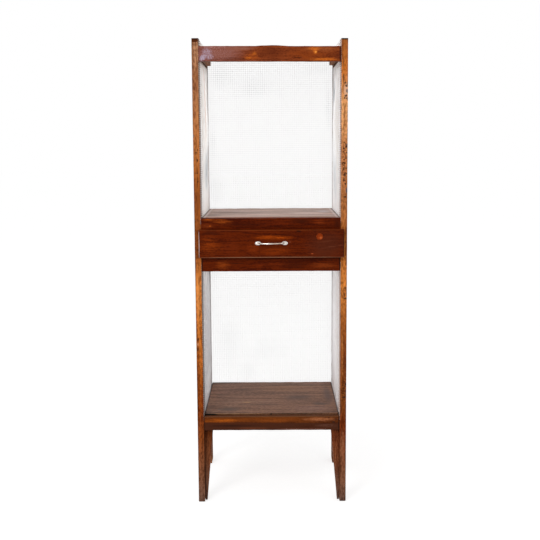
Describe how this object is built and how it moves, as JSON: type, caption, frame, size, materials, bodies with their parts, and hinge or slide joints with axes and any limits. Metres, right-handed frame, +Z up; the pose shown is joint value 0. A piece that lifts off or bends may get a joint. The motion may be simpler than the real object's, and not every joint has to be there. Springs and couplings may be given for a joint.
{
  "type": "meat safe",
  "caption": "Tall wooden meat safe with open compartments above and below a sliding drawer, wire cloth round the sides and back, and a bow handle.",
  "frame": {"origin": "middle of the footprint on the floor, halfway between the handle's front and the wire cloth's back", "axes": "+Z up along the posts, +X to the right as seen from the front, -Y towards the front, where the drawer opens"},
  "size_m": [0.46, 0.4524, 1.42],
  "materials": {
    "post_wood": "old oiled wood, orange brown, worn",
    "rail_wood": "deep red-brown stain and varnish, satin",
    "shelf_wood": "dull worn varnish, greyish brown",
    "inner_wood": "bare aged wood",
    "plug_wood": "lighter varnished wood",
    "wire_cloth": "galvanised woven wire",
    "handle_metal": "bright metal, a little worn"
  },
  "bodies": {
    "carcass": {"front_post_left": "post_wood", "front_post_right": "post_wood", "rear_post_left": "post_wood", "rear_post_right": "post_wood", "side_top_rail_left": "post_wood", "side_top_rail_right": "post_wood", "side_drawer_board_left": "post_wood", "side_drawer_board_right": "post_wood", "side_bottom_rail_left": "post_wood", "side_bottom_rail_right": "post_wood", "top_front_rail": "rail_wood", "upper_front_rail": "rail_wood", "lower_front_rail": "rail_wood", "bottom_front_rail": "rail_wood", "leg_taper_left": "rail_wood", "leg_taper_right": "rail_wood", "top_rear_rail": "inner_wood", "upper_rear_rail": "inner_wood", "lower_rear_rail": "inner_wood", "bottom_rear_rail": "inner_wood", "bottom_bearer_left": "inner_wood", "bottom_bearer_right": "inner_wood", "drawer_runner_left": "inner_wood", "drawer_runner_right": "inner_wood", "drawer_kicker_left": "inner_wood", "drawer_kicker_right": "inner_wood", "top_cleat_left": "inner_wood", "top_cleat_right": "inner_wood", "top_board": "inner_wood", "upper_shelf": "shelf_wood", "bottom_shelf": "shelf_wood", "side_cloth_upper_left": "wire_cloth", "side_cloth_upper_right": "wire_cloth", "side_cloth_lower_left": "wire_cloth", "side_cloth_lower_right": "wire_cloth", "back_cloth": "wire_cloth"},
    "drawer": {"drawer_front": "rail_wood", "drawer_front_plug": "plug_wood", "drawer_side_left": "inner_wood", "drawer_side_right": "inner_wood", "drawer_back": "inner_wood", "drawer_bottom": "inner_wood", "drawer_handle": "handle_metal", "handle_screw_left": "handle_metal", "handle_screw_right": "handle_metal"}
  },
  "joints": [
    {"name": "drawer_slide", "type": "slide", "parent": "carcass", "child": "drawer", "axis": [0, -1, 0], "range_m": [0, 0.28]}
  ]
}
